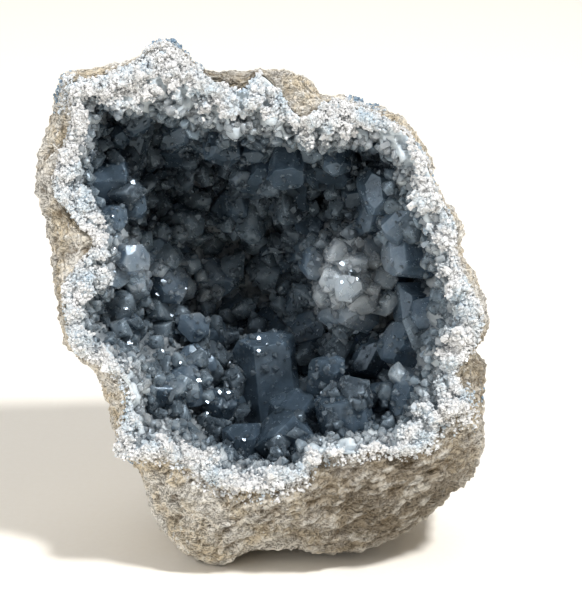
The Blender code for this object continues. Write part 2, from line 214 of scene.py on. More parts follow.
def rock_lumps(point):
    """How far the limestone stands proud here: broad knobs, smaller ones and a few ledges."""
    lumps = relief(point, LUMPS)
    ledges = LEDGE_HEIGHT * noise.noise(Vector(x / size for x, size in zip(point, LEDGE_SIZE)))
    for *place, radius, height in KNOBS:
        apart = (point - Vector(place) * MM).length_squared
        lumps += height * MM * math.exp(-apart / (radius * MM) ** 2)
    return lumps + ledges


def rock_outside(angle, share):
    """The limestone's back and sides, from its back pole at share 0 to its girth at 1."""
    width, depth = bowl(1 - share, blend(ROCK_FULLNESS, FOOT_FULLNESS, footward(angle)))
    start = blend(SIDE_GIRTH_DEPTH, FOOT_GIRTH_DEPTH, footward(angle))
    radius = blend(BACK_RADIUS, girth(angle), width**CORNER_FADING) * width
    point = polar_point(angle, radius, blend(start, ROCK_DEPTH, depth))
    outward = (point - Vector((0, ROCK_DEPTH * LUMPS_MIDDLE, 0))).normalized()
    return point + outward * rock_lumps(point) * (1 - GIRTH_CALM * width**GIRTH_NARROWNESS)


@lru_cache(maxsize=None)
def rock_girth(angle):
    return rock_outside(angle, 1)


def rock_shoulder(angle, share):
    """The limestone's front, rounding from its girth at share 0 to the seam at 1."""
    turn = (1 - share) * math.pi / 2
    start = rock_girth(angle)
    wide = math.hypot(start.x, start.z)
    width = blend(seam(angle), wide, math.sin(turn))
    depth = blend(start.y, rim_wave(angle), math.cos(turn))
    point = polar_point(angle, width, depth)
    fade = math.sin(math.pi * share)
    return point + Vector((0, -1, 0)) * rock_lumps(point) * SHOULDER_LUMPS * fade


def cave_wall(angle, share, inset=0.0):
    """Where limestone and crust meet, from the seam at share 0 to the cave's pole at 1."""
    width, depth = bowl(share, CAVE_FULLNESS)
    return polar_point(
        angle, (seam(angle) - inset) * width, blend(rim_wave(angle), CAVE_DEPTH - inset, depth)
    )


def rock_place(angle, row):
    if row <= BACK_ROWS:
        return rock_outside(angle, row / BACK_ROWS)
    row -= BACK_ROWS
    if row <= SHOULDER_ROWS:
        return rock_shoulder(angle, row / SHOULDER_ROWS)
    return cave_wall(angle, (row - SHOULDER_ROWS) / CAVE_ROWS)


def wrapped_skin(columns, rows, place, marks):
    """A closed skin wrapped round the geode. Each mark is a number for every row, kept on its points."""
    bm = bmesh.new()
    bmesh.ops.create_grid(bm, x_segments=columns, y_segments=rows, size=1)
    layers = [(bm.verts.layers.float.new(name), mark) for name, mark in marks.items()]
    for vertex in bm.verts:
        column = round((vertex.co.x + 1) / 2 * columns) % columns
        row = round((vertex.co.y + 1) / 2 * rows)
        vertex.co = place(column / columns * math.tau, row)
        for layer, mark in layers:
            vertex[layer] = mark(row)
    bmesh.ops.remove_doubles(bm, verts=bm.verts, dist=0.002 * MM)
    bmesh.ops.recalc_face_normals(bm, faces=bm.faces)
    return bm


def craggy(place):
    """Broken stone: crests and hollows, longer along its layers than across them, from about -1 to 1."""
    layered = LAYERING @ place
    crests = noise.ridged_multi_fractal(
        layered, CREST_FADING, CREST_STEP, GRIT_OCTAVES, CREST_OFFSET, CREST_GAIN
    )
    broken = noise.fractal(layered * BROKEN_SCALE, BROKEN_FADING, BROKEN_STEP, GRIT_OCTAVES)
    return CREST_SHARE * (crests - CREST_MIDDLE) + BROKEN_SHARE * broken


def roughened(bm, grit, shape, amount):
    """Moves every point out or in by the grit at it, and keeps how proud it stands, about 0 to 1."""
    layer = bm.verts.layers.float.new("proud")
    height, width, sunk = grit
    bm.normal_update()
    moves = []
    for vertex in bm.verts:
        rise = shape(vertex.co / width)
        vertex[layer] = 0.5 + 0.5 * rise
        moves.append(vertex.normal * (height * rise - sunk) * amount(vertex))
    for vertex, move in zip(bm.verts, moves):
        vertex.co += move


def cut_away(bm, point, normal):
    """Cuts off what lies past a plane and closes the cut with a flat face."""
    cut = bmesh.ops.bisect_plane(
        bm,
        geom=bm.verts[:] + bm.edges[:] + bm.faces[:],
        dist=0.001 * MM,
        plane_co=point,
        plane_no=normal,
        clear_outer=True,
    )
    edges = [part for part in cut["geom_cut"] if isinstance(part, bmesh.types.BMEdge)]
    bmesh.ops.holes_fill(bm, edges=edges, sides=0)


# Leans the geode back and stands it on its foot.
TO_ITS_FOOT = Matrix.Translation((-BOX_MIDDLE[0], -BOX_MIDDLE[1], -FOOT_LEVEL))
STANDING = TO_ITS_FOOT @ Matrix.Rotation(-LEAN, 4, "X")


def finished_piece(name, mesh, material):
    """Shows a mesh as a piece that rides on the geode's one body."""
    made = bpy.data.objects.new(name, mesh)
    bpy.context.scene.collection.objects.link(made)
    mesh.materials.append(material)
    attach(made, "root")
    return made


def mesh_from(bm, name, smooth):
    for face in bm.faces:
        face.smooth = smooth
    mesh = bpy.data.meshes.new(name)
    bm.to_mesh(mesh)
    bm.free()
    return mesh


def linear(colour):
    """A colour written in sRGB hex, as the linear RGBA that a shader takes."""
    parts = [int(colour[i : i + 2], 16) / 255 for i in (1, 3, 5)]
    return (*(c / 12.92 if c <= 0.04045 else ((c + 0.055) / 1.055) ** 2.4 for c in parts), 1)


def add_node(tree, kind, inputs, take=0, **settings):
    """Adds a node with its settings, each input linked or set. Returns the output that is asked for."""
    node = tree.nodes.new("ShaderNode" + kind)
    for name, value in settings.items():
        setattr(node, name, value)
    for name, value in inputs.items():
        if isinstance(value, bpy.types.NodeSocket):
            tree.links.new(value, node.inputs[name])
        else:
            node.inputs[name].default_value = value
    return node.outputs[take]


def new_material(name):
    material = bpy.data.materials.new(name)
    material.use_nodes = True
    return material, material.node_tree, material.node_tree.nodes["Principled BSDF"]


def limestone():
    """Gritty limestone, dull: tan and whiter patches, with white flecks, brown specks and cracks, a
    painted highlight on its crests and painted shade in its pits.

    The specks are drawn at 1.4 mm, coarser than its sand, so that they show.
    """
    material, tree, shader = new_material("weathered_limestone")
    place = add_node(tree, "TexCoord", {}, "Object")

    patches = {"Vector": place, "Scale": 1 / 0.013, "Detail": 5, "Roughness": 0.6}
    patches = add_node(tree, "TexNoise", patches)
    patches = add_node(tree, "MapRange", {"Value": patches, "From Min": 0.43, "From Max": 0.58})
    colour = {0: patches, 6: linear("#e6d8bf"), 7: linear("#f6f2ea")}
    colour = add_node(tree, "Mix", colour, 2, data_type="RGBA")

    mottles = {"Vector": place, "Scale": 1 / 0.004, "Detail": 5, "Roughness": 0.75}
    mottles = add_node(tree, "TexNoise", mottles)
    mottles = {"Value": mottles, "From Min": 0.52, "From Max": 0.64, "To Max": 0.75}
    layers = [(add_node(tree, "MapRange", mottles), "#e6e2d8")]

    for turn, size in ((52, 0.0019), (-48, 0.0014)):
        slanted = {"Vector": place, "Rotation": (0.3, math.radians(turn), 0), "Scale": (1, 1, 0.4)}
        slanted = add_node(tree, "Mapping", slanted)
        flecks = add_node(tree, "TexNoise", {"Vector": slanted, "Scale": 1 / size, "Detail": 3})
        start = add_node(tree, "MapRange", {"Value": patches, "To Min": 0.64, "To Max": 0.54})
        flecks = add_node(tree, "MapRange", {"Value": flecks, "From Min": start, "From Max": 0.7})
        layers.append((flecks, "#f6f4ee"))

    # Darker grey brown patches, each fading out towards its radius.
    for middle, radius, amount in DARKER_PATCHES:
        apart = add_node(tree, "VectorMath", {0: place, 1: middle}, "Value", operation="DISTANCE")
        darker_patch = {"Value": apart, "From Min": 0.3 * radius, "From Max": radius}
        darker_patch = add_node(tree, "MapRange", {**darker_patch, "To Min": amount, "To Max": 0})
        layers.append((darker_patch, "#857a69"))

    flaking = {"Vector": place, "Rotation": (0, math.radians(22), 0), "Scale": (1, 1, 1.6)}
    flaking = add_node(tree, "Mapping", flaking)
    flaking = {"Vector": flaking, "Scale": 1 / 0.006, "Detail": 6, "Roughness": 0.7, "Distortion": 2.0}
    flaking = add_node(tree, "TexNoise", flaking)
    flaking = add_node(tree, "Math", {0: flaking, 1: 0.5}, operation="SUBTRACT")
    flaking = add_node(tree, "Math", {0: flaking}, operation="ABSOLUTE")
    flaking = {"Value": flaking, "From Min": 0.003, "From Max": 0.02, "To Min": 0.65, "To Max": 0}
    flaking = add_node(tree, "MapRange", flaking)
    layers.append((flaking, "#5c4e3a"))

    specks = {"Vector": place, "Scale": 1 / 0.0014, "Detail": 4, "Roughness": 0.75}
    specks = add_node(tree, "TexNoise", specks)
    dark = {"Value": specks, "From Min": 0.36, "From Max": 0.47, "To Min": 0.7, "To Max": 0}
    layers.append((add_node(tree, "MapRange", dark), "#66573f"))

    # Painted highlight and painted shade: lighter on the crests where the grit stands proud, together
    # with whiter chips there, and darker in its pits.
    proud = add_node(tree, "Attribute", {}, "Fac", attribute_name="proud")
    crests = {"Value": proud, "From Min": 0.6, "From Max": 1, "To Max": 0.6}
    layers.append((add_node(tree, "MapRange", crests), "#f3efe6"))
    pits = {"Value": proud, "From Min": 0.0, "From Max": 0.4, "To Min": 0.75, "To Max": 0}
    layers.append((add_node(tree, "MapRange", pits), "#6b5a42"))

    for share, over in layers:
        colour = {0: share, 6: colour, 7: linear(over)}
        colour = add_node(tree, "Mix", colour, 2, data_type="RGBA")
    tree.links.new(colour, shader.inputs["Base Color"])
    shader.inputs["Roughness"].default_value = 0.9
    shader.inputs["Specular IOR Level"].default_value = 0.3

    sand = add_node(tree, "Math", {0: specks, 1: flaking}, operation="SUBTRACT")
    sand = add_node(tree, "Bump", {"Height": sand, "Strength": 1.0, "Distance": 0.0016})
    tree.links.new(sand, shader.inputs["Normal"])
    return material


rock = wrapped_skin(
    ROCK_COLUMNS,
    BACK_ROWS + SHOULDER_ROWS + CAVE_ROWS,
    rock_place,
    {"outside": lambda row: float(row < BACK_ROWS + SHOULDER_ROWS)},
)
outside_layer = rock.verts.layers.float["outside"]
roughened(rock, ROCK_GRIT, craggy, lambda vertex: vertex[outside_layer])
bmesh.ops.transform(rock, verts=rock.verts, matrix=STANDING)
cut_away(rock, (0, 0, 0), (0, 0, -1))
rock_piece = finished_piece(
    "limestone_rind", mesh_from(rock, "limestone_rind", True), limestone()
)
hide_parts("rock_shell")


# The crust of celestite that all the crystals grow from.
# Massive blue-grey celestite on the inside of the rind: sugary and pale where it is broken
# across around the mouth, and dark in the hollow, painted darker with depth as painted shade and with
# spots of painted light and shade.

MOUTH = (
    (61, 3), (57, 12), (55, 20), (52, 28), (48, 35), (44, 43), (40, 51), (34, 53), (24, 51), (15, 51),
    (8, 53), (0, 55), (-12, 55), (-21, 58), (-30, 61), (-39, 62), (-47, 64), (-54, 66), (-58, 58),
    (-60, 48), (-60, 40), (-57, 31), (-51, 21), (-51, 12), (-55, 2), (-61, -8), (-56, -15), (-47, -20),
    (-40, -29), (-41, -39), (-31, -44), (-19, -52), (-6, -57), (9, -55), (17, -48), (30, -46),
    (43, -45), (50, -39), (54, -28), (57, -18), (60, -8),
)
HOLLOW_DEPTH = 0.084
HOLLOW_FULLNESS = 2.25
NEAR_ITS_POLE = 0.998
CELESTITE_INDEX = 1.62

# The broken band stands a little proud of the limestone, a hair clear of it, and rounds over into the
# mouth. Its sugar is lower than in the CAD source, because here druse covers it.
BAND_DEPTH = 0.009
BAND_ROUNDING = 1.3
CRUST_GAP = 0.0004
CRUST_PROUD = 0.0015
LIP_SHARE = 0.2
BAND_SUGAR = ((0.003, 0.0045),)
WALL_RELIEF = ((0.0022, 0.013), (0.0018, 0.0045))
RELIEF_START = 0.25

# The grit of its wall, as for the rock, how fast its finer bumps fade, and their height's middle and
# scale. The first rows past the mouth bring it in.
CRUST_GRIT = (0.003, 0.008, 0.0008)
GRIT_FADING = 0.5
KNOB_MIDDLE = 0.38
KNOB_SCALE = 2.5
GRIT_START_ROWS = 4

# Swellings of the wall, each seen at (across, up), with its radius and height, in millimetres.
SWELLINGS = (
    (-25, -27, 15, 11),
    (-42, -2, 11, 6),
    (24, 17, 13, 9),
    (32, -8, 12, 5),
    (-33, 32, 14, 5),
    (-12, 47, 12, 4),
    (44, -30, 11, 4),
)

# A spur of the wall that stands forward, as (across, up, radius, height) in millimetres, how wide it is
# for its height, and the way that it points.
SPUR = (33, 4, 11, 43)
SPUR_STRETCH = 0.6
SPUR_WAY = Vector((-0.1, -1, 0))

# Spots painted paler or darker than their depth gives: painted light and painted shade in the hollow,
# with milkier and clearer celestite. Each is seen at (across, up) with its radius in millimetres and
# how much paler it is.
PAINTED_LIGHT_AND_MILK = (
    (26, 12, 11, 1.2),
    (28, 0, 13, 0.5),
    (22, -12, 14, 0.25),
    (23, -32, 13, -0.35),
    (20, -45, 10, -0.35),
    (-38, -33, 9, -0.35),
    (-12, -14, 9, -0.1),
    (-22, 0, 11, 0.3),
    (3, -7, 11, 0.34),
    (-9, 51, 10, -0.45),
    (40, 48, 10, -0.3),
    (47, -4, 20, 0.16),
    (38, 26, 14, 0.08),
    (47, -28, 12, 0.15),
    (-14, 16, 24, 0.18),
    (-42, 10, 16, 0.25),
    (-23, 9, 16, 0.25),
    (-27, -27, 15, 0.3),
    (-44, 50, 13, -0.4),
    (34, 47, 9, -0.4),
    (4, -46, 15, -0.35),
    (-11, -45, 8, -0.3),
)

# Milkiness fades from the band to the mouth. The rest of the paleness fades from there to this deep in
# the hollow as painted shade: the walls are painted darker the deeper they lie.
PALE_REACHES = (-0.008, 0.001)
WALL_REACH = 0.06
BAND_MILK = 0.65
PAINTED_DEPTH_SHADE = 0.35

# Where someone in front sees it from: this far away, and so much above straight ahead.
VIEW_DISTANCE = 0.75
VIEW_SLOPE = 0.07

CRUST_COLUMNS = 480
HIDDEN_ROWS = 6
BAND_ROWS = 28
HOLLOW_ROWS = 110

mouth = smooth_outline(MOUTH)


def band(angle, share):
    """The pale band, sloping back from the seam at share 0 to the mouth at 1."""
    edge = seam(angle) - CRUST_GAP
    turn = share * math.pi / 2
    width = blend(edge, mouth(angle), math.sin(turn) ** BAND_ROUNDING)
    front = rim_wave(angle) - CRUST_PROUD * min(1.0, share / LIP_SHARE)
    point = polar_point(angle, width, front + BAND_DEPTH * (1 - math.cos(turn)))
    sugar = relief(point, BAND_SUGAR) * math.sin(math.pi * share)
    return point + Vector((0, -1, 0)) * sugar


def plain_hollow(angle, share):
    width, depth = bowl(share, HOLLOW_FULLNESS)
    start = rim_wave(angle) - CRUST_PROUD + BAND_DEPTH
    return polar_point(angle, mouth(angle) * width, blend(start, HOLLOW_DEPTH, depth))


def hollow_place(across, up):
    """The (angle, share) of the hollow's wall that is seen at this place from the front."""
    angle = math.atan2(up, across)
    width = min(NEAR_ITS_POLE, math.hypot(across, up) * MM / mouth(angle))
    return angle, math.acos(width ** (HOLLOW_FULLNESS / 2)) / (math.pi / 2)


SWELLING_CENTRES = [
    (plain_hollow(*hollow_place(across, up)), radius * MM, height * MM)
    for across, up, radius, height in SWELLINGS
]
HOLLOW_MIDDLE = Vector((0, HOLLOW_DEPTH * 0.35, 0.002))


def hollow_wall(angle, share):
    """The crust's own surface inside the hollow, from the mouth at share 0 to the pole at 1."""
    point = plain_hollow(angle, share)
    rise = relief(point, WALL_RELIEF)
    for centre, radius, height in SWELLING_CENTRES:
        rise += height * math.exp(-((point - centre).length_squared) / radius**2)
    inward = (HOLLOW_MIDDLE - point).normalized()
    across, up, radius, height = (x * MM for x in SPUR)
    apart = math.hypot(point.x - across, (point.z - up) * SPUR_STRETCH)
    spur = height * math.exp(-((apart / radius) ** 2))
    return point + inward * rise * min(1.0, share / RELIEF_START) + SPUR_WAY * spur


def crust_place(angle, row):
    if row <= HIDDEN_ROWS:
        return cave_wall(angle, 1 - row / HIDDEN_ROWS, CRUST_GAP)
    row -= HIDDEN_ROWS + 1
    if row <= BAND_ROWS:
        return band(angle, row / BAND_ROWS)
    return hollow_wall(angle, (row - BAND_ROWS) / HOLLOW_ROWS)


def seen(point):
    """Where a place in the hollow is seen in the plane of the mouth, as (across, up) in millimetres."""
    shrink = VIEW_DISTANCE / (VIEW_DISTANCE + point.y) / MM
    return point.x * shrink, (point.z + point.y * VIEW_SLOPE) * shrink


def unseen(across, up, depth):
    """The place at a depth that is seen at (across, up) in the plane of the mouth."""
    grow = (VIEW_DISTANCE + depth) / VIEW_DISTANCE * MM
    return Vector((across * grow, depth, up * grow - depth * VIEW_SLOPE))


def past_mouth(point):
    """How far inside the mouth a place is: behind it, and in from its edge."""
    angle = round(math.atan2(point.z, point.x), 2)
    inward = max(0.0, mouth(angle) - math.hypot(point.x, point.z))
    return point.y - rim_wave(angle) - BAND_DEPTH + inward


def paleness(point):
    """How pale the celestite is at a place, from 0 in the hollow to 1 at the broken band: milky at the
    band, painted darker deeper in as painted shade, and paler or darker in spots as painted light and
    shade.
    """
    past = past_mouth(point)
    start, end = PALE_REACHES
    pale = BAND_MILK * max(0.0, min(1.0, (end - past) / (end - start)))
    pale += PAINTED_DEPTH_SHADE * max(0.0, min(1.0, 1 - past / WALL_REACH))
    if past > 0:
        across, up = seen(point)
        # Spots of painted light and painted shade, with milkier and clearer celestite.
        for cloud_across, cloud_up, radius, amount in PAINTED_LIGHT_AND_MILK:
            apart = (across - cloud_across) ** 2 + (up - cloud_up) ** 2
            pale += amount * math.exp(-apart / radius**2)
    return max(0.0, min(1.0, pale))


def paled(bm):
    """Keeps on every point how pale the celestite is there, its painted shade and light included."""
    layer = bm.verts.layers.float.new("pale")
    for vertex in bm.verts:
        vertex[layer] = paleness(vertex.co)


def knobbly(place):
    """Round bumps with creases between them, from about -1 to 1."""
    bumps = noise.turbulence(place, GRIT_OCTAVES, True, amplitude_scale=GRIT_FADING)
    return KNOB_SCALE * (bumps - KNOB_MIDDLE)


def crust_stone():
    """Massive celestite: pale and sugary at the break, dark slate blue inside and painted darker deeper
    in as painted shade, a little glossy.
    """
    material, tree, shader = new_material("massive_celestite")
    place = add_node(tree, "TexCoord", {}, "Object")
    milk = add_node(tree, "TexNoise", {"Vector": place, "Scale": 1 / 0.006, "Detail": 3})
    milk = add_node(tree, "MapRange", {"Value": milk, "From Min": 0.3, "From Max": 0.7})
    dark = {0: milk, 6: linear("#1d2429"), 7: linear("#3b4751")}
    dark = add_node(tree, "Mix", dark, 2, data_type="RGBA")
    light = {0: milk, 6: linear("#a9b6c0"), 7: linear("#dde5e8")}
    light = add_node(tree, "Mix", light, 2, data_type="RGBA")
    pale = add_node(tree, "Attribute", {}, "Fac", attribute_name="pale")
    colour = add_node(tree, "Mix", {0: pale, 6: dark, 7: light}, 2, data_type="RGBA")
    tree.links.new(colour, shader.inputs["Base Color"])
    shader.inputs["Roughness"].default_value = 0.4
    shader.inputs["IOR"].default_value = CELESTITE_INDEX
    sugar = {"Vector": place, "Scale": 1 / 0.0012, "Detail": 3, "Roughness": 0.6}
    sugar = add_node(tree, "TexNoise", sugar)
    sugar = add_node(tree, "Bump", {"Height": sugar, "Strength": 0.8, "Distance": 0.0006})
    tree.links.new(sugar, shader.inputs["Normal"])
    return material


crust = wrapped_skin(
    CRUST_COLUMNS,
    HIDDEN_ROWS + 1 + BAND_ROWS + HOLLOW_ROWS,
    crust_place,
    {"inside": lambda row: max(0.0, min(1.0, (row - HIDDEN_ROWS - 2) / GRIT_START_ROWS))},
)
inside_layer = crust.verts.layers.float["inside"]
roughened(crust, CRUST_GRIT, knobbly, lambda vertex: vertex[inside_layer])
paled(crust)
bmesh.ops.transform(crust, verts=crust.verts, matrix=STANDING)
crust_piece = finished_piece(
    "celestite_crust", mesh_from(crust, "celestite_crust", True), crust_stone()
)
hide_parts("crystal_crust")


# The big crystals.
# Blocky clear to smoky-blue celestite crystals rooted in the crust, with flat prism faces
# under sloping ends. They are the same bodies as in the CAD source, with their corners chipped.

# Each is seen at (across, up), with its width, breadth and length in millimetres, the way it points,
# the degrees that its broad face is turned from the front, and how steeply its end falls away.
BIG_CRYSTALS = (
    (1, -46, 22, 16, 29, (-0.09, -0.16, 0.98), 8, 10),
    (-19, -46, 12, 10, 14, (0.25, -0.6, 0.75), 30, 35),
    (9, -51, 13, 10, 14, (0.1, -0.5, 0.85), -15, 18),
    (20, -43, 14, 11, 20, (0.1, -0.45, 0.88), 40, 20),
    (7, 51, 15, 12, 15, (-0.05, -0.6, -0.8), 20, 15),
    (24, 50, 9, 8, 10, (0.0, -0.5, -0.85), 35, 40),
    (45, 36, 17, 13, 14, (-0.8, -0.6, 0.0), 10, 15),
    (41, 24, 14, 11, 12, (-0.75, -0.6, 0.1), -15, 25),
    (54, 13, 16, 13, 12, (-0.85, -0.5, 0.1), 20, 20),
    (45, 5, 15, 12, 13, (-0.8, -0.6, 0.0), -20, 20),
    (56, -4, 15, 12, 12, (-0.85, -0.5, 0.0), 5, 25),
    (38, -9, 14, 11, 12, (-0.6, -0.75, 0.25), 25, 25),
    (53, -20, 16, 13, 12, (-0.8, -0.5, 0.3), -25, 20),
    (43, -26, 15, 12, 13, (-0.7, -0.6, 0.35), 0, 25),
    (34, -34, 15, 12, 15, (-0.3, -0.6, 0.75), -15, 20),
    (-57, 54, 9, 7, 9, (0.8, -0.6, 0.1), 15, 30),
    (-56, 41, 12, 10, 12, (0.85, -0.5, -0.1), -10, 30),
    (-55, 30, 12, 9, 15, (0.9, -0.4, 0.05), 20, 30),
    (-54, 26, 9, 8, 7, (0.6, -0.8, 0.0), 10, 30),
    (-51, 14, 13, 10, 9, (0.6, -0.75, 0.0), 40, 25),
    (-54, 7, 9, 8, 6, (0.6, -0.8, 0.1), 65, 25),
    (-43, 1, 15, 12, 10, (0.6, -0.75, 0.25), 5, 20),
    (-32, -16, 13, 10, 9, (0.2, -0.95, 0.05), 30, 25),
    (-30, -31, 14, 11, 11, (0.1, -0.95, 0.1), 10, 25),
    (-14, -37, 13, 11, 13, (0.5, -0.75, 0.4), 50, 25),
    (-46, 62, 12, 10, 10, (0.3, -0.75, -0.55), 0, 25),
    (-31, 59, 11, 9, 11, (0.1, -0.7, -0.7), 25, 25),
    (-16, 55, 12, 10, 11, (0.1, -0.7, -0.7), -40, 25),
    (-5, 53, 9, 8, 9, (0.0, -0.6, -0.8), 15, 30),
    (25, 10, 12, 10, 10, (-0.5, -0.8, 0.2), 15, 22),
    (20, 24, 13, 10, 11, (-0.4, -0.9, 0.0), 45, 20),
    (17, -22, 14, 11, 15, (-0.3, -0.75, 0.55), -10, 15),
    (32, 14, 9, 7, 8, (-0.35, -0.85, 0.3), 20, 28),
    (35, 2, 10, 8, 8, (-0.2, -0.95, 0.1), -20, 25),
    (29, -9, 10, 8, 9, (-0.3, -0.9, -0.1), 40, 30),
)

# The lesser ones: their count and widths, their breadths and lengths as shares of a width, how steeply
# their ends fall away, and how far apart two of them stand for their widths.
LESSER_COUNT = 44
LESSER_WIDTHS = (0.012, 0.02)
LESSER_BREADTHS = (0.75, 1.0)
LESSER_LENGTHS = (0.45, 0.85)
LESSER_ENDS = (12, 38)
LESSER_SPACING = 0.38

# Where on the way to the hollow's pole they start, how many places are tried, how likely one at the
# pole is taken, and by how much they tilt.
LESSER_START = 0.1
LESSER_TRIES = 6000
POLE_CHANCE = 0.1
LESSER_TILT = 0.34
SEED = 25

# Every crystal is rooted this deep, and raised until it fills no more of the cave than this.
ROOT_DEPTH = 0.004
CRUST_ROOM = 0.93

# A crystal's corners are cut off at this angle to its broad faces, each from its own place on the side.
CORNER_SLOPE = math.radians(52)
CORNER_STARTS = (-0.12, 0.32)

# Its end falls away like a chisel's: how much more steeply on one side than another, in degrees, and how
# far from the middle each slope starts, over the broad faces and over the sides.
END_STRAY = 8
BROAD_RIDGES = (0.02, 0.14)
SIDE_RIDGES = (0.1, 0.38)
STEEPEST_END = 1.6

# Chips off the corners: how many a crystal has, and how much of its reach each leaves.
CHIPS = 2
CHIP_DEPTHS = (0.86, 0.97)
WORN_EDGE = 0.0004

# The colour of the sheen on the stone's faces, and how deep light wanders in it.
SHEEN = "#b4c4d2"
VEIL_DEPTH = 0.009


def within_crust(point):
    """Whether this place is well clear of the limestone behind the crust."""
    angle = math.atan2(point.z, point.x)
    across = math.hypot(point.x, point.z) / seam(angle)
    front = rim_wave(angle)
    back = max(0.0, (point.y - front) / (CAVE_DEPTH - front))
    return across**CAVE_FULLNESS + back**CAVE_FULLNESS < CRUST_ROOM


def hollow_normal(angle, share):
    """The way out of the crust into the hollow."""
    step = 0.01
    share = min(max(share, 0.02), 0.98)
    around = hollow_wall(angle + step, share) - hollow_wall(angle - step, share)
    back = hollow_wall(angle, share + step) - hollow_wall(angle, share - step)
    normal = around.cross(back).normalized()
    inward = HOLLOW_MIDDLE - hollow_wall(angle, share)
    return normal if normal.dot(inward) > 0 else -normal


def crystal_body(width, breadth, length, end, rng):
    """A blocky prism along +Z, broad towards Y, with its corners cut off and a chisel's end."""
    bm = bmesh.new()
    bmesh.ops.create_cube(bm, size=1)
    bmesh.ops.scale(bm, verts=bm.verts, vec=(width, breadth, ROOT_DEPTH + length))
    bmesh.ops.translate(bm, verts=bm.verts, vec=(0, 0, (length - ROOT_DEPTH) / 2))
    for x in (1, -1):
        for y in (1, -1):
            start = Vector((x * width / 2, y * breadth * rng.uniform(*CORNER_STARTS), 0))
            cut_away(bm, start, Vector((x * math.sin(CORNER_SLOPE), y * math.cos(CORNER_SLOPE), 0)))
    ends = ((Vector((0, 1, 0)), breadth, BROAD_RIDGES), (Vector((1, 0, 0)), width, SIDE_RIDGES))
    for across, size, ridges in ends:
        for side in (1, -1):
            start = across * side * size * rng.uniform(*ridges) + Vector((0, 0, length))
            fall = math.radians(end + rng.uniform(-END_STRAY, END_STRAY))
            fall = min(fall, math.atan(STEEPEST_END * length / size))
            cut_away(bm, start, across * side * math.sin(fall) + Vector((0, 0, math.cos(fall))))
    return bm


def crystal_turn(way, spin):
    """The turn that points a crystal a way, its broad face to the front, and then spins it."""
    back = (Vector((0, 1, 0)) - way * way.y).normalized()
    return Matrix((back.cross(way), back, way)).transposed() @ Matrix.Rotation(spin, 3, "Z")


def chipped(bm, count, rng):
    """Takes small corners off the outer half of a crystal."""
    for _ in range(count):
        way = Vector((rng.uniform(-1, 1), rng.uniform(-1, 1), rng.uniform(0.1, 1))).normalized()
        reach = max(vertex.co.dot(way) for vertex in bm.verts)
        cut_away(bm, way * reach * rng.uniform(*CHIP_DEPTHS), way)


def worn(bm, width):
    """Rounds every edge of a crystal over by a narrow face."""
    bmesh.ops.bevel(
        bm,
        geom=bm.edges[:],
        offset=width,
        segments=1,
        profile=0.5,
        affect="EDGES",
        clamp_overlap=True,
        material=-1,
    )


def add_crystal(grown, angle, share, size, turn, rng, chips):
    """Roots one crystal on the hollow's wall, and adds it to those grown."""
    bm = crystal_body(*size, rng)
    chipped(bm, CHIPS, chips)
    worn(bm, WORN_EDGE)
    root = Matrix.Translation(hollow_wall(angle, share))
    bmesh.ops.transform(bm, verts=bm.verts, matrix=root @ turn.to_4x4())
    rise = hollow_normal(angle, share) * MM
    while not all(within_crust(vertex.co) for vertex in bm.verts):
        bmesh.ops.translate(bm, verts=bm.verts, vec=rise)
    bmesh.ops.recalc_face_normals(bm, faces=bm.faces)
    part = bpy.data.meshes.new("crystal")
    bm.to_mesh(part)
    bm.free()
    grown.from_mesh(part)
    bpy.data.meshes.remove(part)


def grow_big_crystals(grown, rng, chips):
    """The crystals that show most. Returns where they are rooted and how wide they are."""
    rooted = []
    for across, up, width, breadth, length, way, spin, end in BIG_CRYSTALS:
        angle, share = hollow_place(across, up)
        size = (width * MM, breadth * MM, length * MM, end)
        turn = crystal_turn(Vector(way).normalized(), math.radians(spin))
        add_crystal(grown, angle, share, size, turn, rng, chips)
        rooted.append((hollow_wall(angle, share), width * MM))
    return rooted


def grow_lesser_crystals(grown, rooted, rng, chips):
    """Smaller crystals wherever there is room, each about square to the wall it grows on."""
    count = 0
    for _ in range(LESSER_TRIES):
        angle = rng.uniform(-math.pi, math.pi)
        share = rng.uniform(LESSER_START, 1)
        if rng.random() > bowl(share, HOLLOW_FULLNESS)[0] + POLE_CHANCE:
            continue
        width = rng.uniform(*LESSER_WIDTHS)
        place = hollow_wall(angle, share)
        if any((place - near).length < LESSER_SPACING * (width + wide) for near, wide in rooted):
            continue
        stray = Vector([rng.uniform(-LESSER_TILT, LESSER_TILT) for _ in range(3)])
        way = (hollow_normal(angle, share) + stray).normalized()
        breadth = width * rng.uniform(*LESSER_BREADTHS)
        size = (width, breadth, width * rng.uniform(*LESSER_LENGTHS), rng.uniform(*LESSER_ENDS))
        turn = crystal_turn(way, rng.uniform(0, math.pi))
        add_crystal(grown, angle, share, size, turn, rng, chips)
        rooted.append((place, width))
        count += 1
        if count == LESSER_COUNT:
            return


